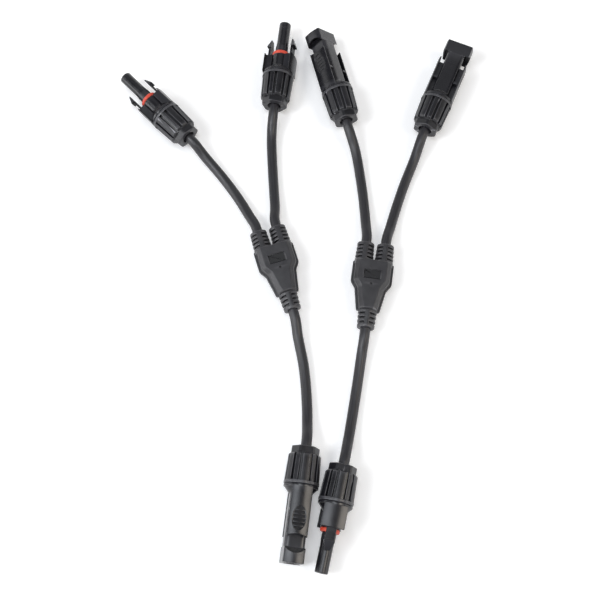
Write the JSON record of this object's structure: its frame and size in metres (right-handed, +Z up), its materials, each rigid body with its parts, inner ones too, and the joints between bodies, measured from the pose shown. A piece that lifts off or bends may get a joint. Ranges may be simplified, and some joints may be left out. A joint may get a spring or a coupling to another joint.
{
  "type": "solar cable branch connector",
  "caption": "Y-branch solar cable connectors: moulded junctions, round cables, grooved gland nuts, and latching plugs and sockets that join panel strings in parallel.",
  "frame": {"origin": "on the table, under the middle of the pair's outline without its free cables", "axes": "+Y from the single-cable ends towards the twin ends, +Z up from the table, +X to the right of the picture"},
  "size_m": [0.2265, 0.3478, 0.021],
  "materials": {
    "connector_plastic": "satin",
    "nut_plastic": "satin",
    "moulding_plastic": "matte",
    "cable_sheath": "satin",
    "gland_rubber": "matte",
    "clamp_plastic": "matte",
    "seal_red": "satin",
    "contact_metal": "tin-plated",
    "copper": "bare copper"
  },
  "bodies": {
    "left_branch": {"left_moulding": "moulding_plastic", "left_splice": "copper", "left_cores": "copper", "left_plug_1_housing": "connector_plastic", "left_plug_1_contact": "contact_metal", "left_plug_1_contact_clip": "contact_metal", "left_plug_1_gland_seal": "gland_rubber", "left_plug_1_cable": "cable_sheath", "left_plug_1_seal_ring": "seal_red", "left_plug_2_housing": "connector_plastic", "left_plug_2_contact": "contact_metal", "left_plug_2_contact_clip": "contact_metal", "left_plug_2_gland_seal": "gland_rubber", "left_plug_2_cable": "cable_sheath", "left_plug_2_seal_ring": "seal_red", "left_socket_housing": "connector_plastic", "left_socket_contact": "contact_metal", "left_socket_contact_clip": "contact_metal", "left_socket_gland_seal": "gland_rubber", "left_socket_cable": "cable_sheath"},
    "right_branch": {"right_moulding": "moulding_plastic", "right_splice": "copper", "right_cores": "copper", "right_socket_1_housing": "connector_plastic", "right_socket_1_contact": "contact_metal", "right_socket_1_contact_clip": "contact_metal", "right_socket_1_gland_seal": "gland_rubber", "right_socket_1_cable": "cable_sheath", "right_socket_2_housing": "connector_plastic", "right_socket_2_contact": "contact_metal", "right_socket_2_contact_clip": "contact_metal", "right_socket_2_gland_seal": "gland_rubber", "right_socket_2_cable": "cable_sheath", "right_plug_housing": "connector_plastic", "right_plug_contact": "contact_metal", "right_plug_contact_clip": "contact_metal", "right_plug_gland_seal": "gland_rubber", "right_plug_cable": "cable_sheath", "right_plug_seal_ring": "seal_red"},
    "left_plug_1_clamp": {"left_plug_1_clamp_ring": "clamp_plastic"},
    "left_plug_1_nut": {"left_plug_1_nut": "nut_plastic"},
    "left_plug_1_latch_arm_a": {"left_plug_1_latch_arm_a": "connector_plastic"},
    "left_plug_1_latch_arm_b": {"left_plug_1_latch_arm_b": "connector_plastic"},
    "left_plug_2_clamp": {"left_plug_2_clamp_ring": "clamp_plastic"},
    "left_plug_2_nut": {"left_plug_2_nut": "nut_plastic"},
    "left_plug_2_latch_arm_a": {"left_plug_2_latch_arm_a": "connector_plastic"},
    "left_plug_2_latch_arm_b": {"left_plug_2_latch_arm_b": "connector_plastic"},
    "left_socket_clamp": {"left_socket_clamp_ring": "clamp_plastic"},
    "left_socket_nut": {"left_socket_nut": "nut_plastic"},
    "right_socket_1_clamp": {"right_socket_1_clamp_ring": "clamp_plastic"},
    "right_socket_1_nut": {"right_socket_1_nut": "nut_plastic"},
    "right_socket_2_clamp": {"right_socket_2_clamp_ring": "clamp_plastic"},
    "right_socket_2_nut": {"right_socket_2_nut": "nut_plastic"},
    "right_plug_clamp": {"right_plug_clamp_ring": "clamp_plastic"},
    "right_plug_nut": {"right_plug_nut": "nut_plastic"},
    "right_plug_latch_arm_a": {"right_plug_latch_arm_a": "connector_plastic"},
    "right_plug_latch_arm_b": {"right_plug_latch_arm_b": "connector_plastic"}
  },
  "joints": [
    {"name": "right_branch_lift", "type": "slide", "parent": "left_branch", "child": "right_branch", "axis": [0, 0, 1], "range_m": [0, 0.1]},
    {"name": "left_plug_1_clamp_travel", "type": "slide", "parent": "left_branch", "child": "left_plug_1_clamp", "axis": [0.7009, -0.7133, 0], "range_m": [0, 0.003]},
    {"name": "left_plug_1_nut_turn", "type": "hinge", "parent": "left_plug_1_clamp", "child": "left_plug_1_nut", "pos_m": [-0.06866, 0.0916, 0.0101], "axis": [0.7009, -0.7133, 0], "range_deg": [0, 720]},
    {"name": "left_plug_1_latch_arm_a_flex", "type": "hinge", "parent": "left_branch", "child": "left_plug_1_latch_arm_a", "pos_m": [-0.0926, 0.10579, 0.00792], "axis": [0.2085, 0.2049, -0.9563], "range_deg": [0, 6], "stiffness_Nm_per_rad": 1.5},
    {"name": "left_plug_1_latch_arm_b_flex", "type": "hinge", "parent": "left_branch", "child": "left_plug_1_latch_arm_b", "pos_m": [-0.08243, 0.11578, 0.01228], "axis": [-0.2085, -0.2049, 0.9563], "range_deg": [0, 6], "stiffness_Nm_per_rad": 1.5},
    {"name": "left_plug_2_clamp_travel", "type": "slide", "parent": "left_branch", "child": "left_plug_2_clamp", "axis": [-0.1132, -0.9936, 0], "range_m": [0, 0.003]},
    {"name": "left_plug_2_nut_turn", "type": "hinge", "parent": "left_plug_2_clamp", "child": "left_plug_2_nut", "pos_m": [-0.01506, 0.1136, 0.0101], "axis": [-0.1132, -0.9936, 0], "range_deg": [0, 720]},
    {"name": "left_plug_2_latch_arm_a_flex", "type": "hinge", "parent": "left_branch", "child": "left_plug_2_latch_arm_a", "pos_m": [-0.01905, 0.14113, 0.0078], "axis": [0.307, -0.035, -0.9511], "range_deg": [0, 6], "stiffness_Nm_per_rad": 1.5},
    {"name": "left_plug_2_latch_arm_b_flex", "type": "hinge", "parent": "left_branch", "child": "left_plug_2_latch_arm_b", "pos_m": [-0.00498, 0.13953, 0.0124], "axis": [-0.307, 0.035, 0.9511], "range_deg": [0, 6], "stiffness_Nm_per_rad": 1.5},
    {"name": "left_socket_clamp_travel", "type": "slide", "parent": "left_branch", "child": "left_socket_clamp", "axis": [0.1271, 0.9919, 0], "range_m": [0, 0.003]},
    {"name": "left_socket_nut_turn", "type": "hinge", "parent": "left_socket_clamp", "child": "left_socket_nut", "pos_m": [0.00474, -0.104, 0.0101], "axis": [0.1271, 0.9919, 0], "range_deg": [0, 720]},
    {"name": "right_socket_1_clamp_travel", "type": "slide", "parent": "right_branch", "child": "right_socket_1_clamp", "axis": [0.2588, -0.9659, 0], "range_m": [0, 0.003]},
    {"name": "right_socket_1_nut_turn", "type": "hinge", "parent": "right_socket_1_clamp", "child": "right_socket_1_nut", "pos_m": [0.03064, 0.1027, 0.0105], "axis": [0.2588, -0.9659, 0], "range_deg": [0, 720]},
    {"name": "right_socket_2_clamp_travel", "type": "slide", "parent": "right_branch", "child": "right_socket_2_clamp", "axis": [-0.3875, -0.9219, 0], "range_m": [0, 0.003]},
    {"name": "right_socket_2_nut_turn", "type": "hinge", "parent": "right_socket_2_clamp", "child": "right_socket_2_nut", "pos_m": [0.07994, 0.0966, 0.0101], "axis": [-0.3875, -0.9219, 0], "range_deg": [0, 720]},
    {"name": "right_plug_clamp_travel", "type": "slide", "parent": "right_branch", "child": "right_plug_clamp", "axis": [0.2164, 0.9763, 0], "range_m": [0, 0.003]},
    {"name": "right_plug_nut_turn", "type": "hinge", "parent": "right_plug_clamp", "child": "right_plug_nut", "pos_m": [0.02584, -0.1143, 0.0101], "axis": [0.2164, 0.9763, 0], "range_deg": [0, 720]},
    {"name": "right_plug_latch_arm_a_flex", "type": "hinge", "parent": "right_branch", "child": "right_plug_latch_arm_a", "pos_m": [0.02065, -0.1407, 0.01752], "axis": [0.9726, -0.2156, -0.0872], "range_deg": [0, 6], "stiffness_Nm_per_rad": 1.5},
    {"name": "right_plug_latch_arm_b_flex", "type": "hinge", "parent": "right_branch", "child": "right_plug_latch_arm_b", "pos_m": [0.01938, -0.14042, 0.00268], "axis": [-0.9726, 0.2156, 0.0872], "range_deg": [0, 6], "stiffness_Nm_per_rad": 1.5}
  ],
  "couplings": [
    {"joint": "left_plug_1_clamp_travel", "follows": "left_plug_1_nut_turn", "m_per_rad": 0.00023873},
    {"joint": "left_plug_2_clamp_travel", "follows": "left_plug_2_nut_turn", "m_per_rad": 0.00023873},
    {"joint": "left_socket_clamp_travel", "follows": "left_socket_nut_turn", "m_per_rad": 0.00023873},
    {"joint": "right_socket_1_clamp_travel", "follows": "right_socket_1_nut_turn", "m_per_rad": 0.00023873},
    {"joint": "right_socket_2_clamp_travel", "follows": "right_socket_2_nut_turn", "m_per_rad": 0.00023873},
    {"joint": "right_plug_clamp_travel", "follows": "right_plug_nut_turn", "m_per_rad": 0.00023873}
  ]
}
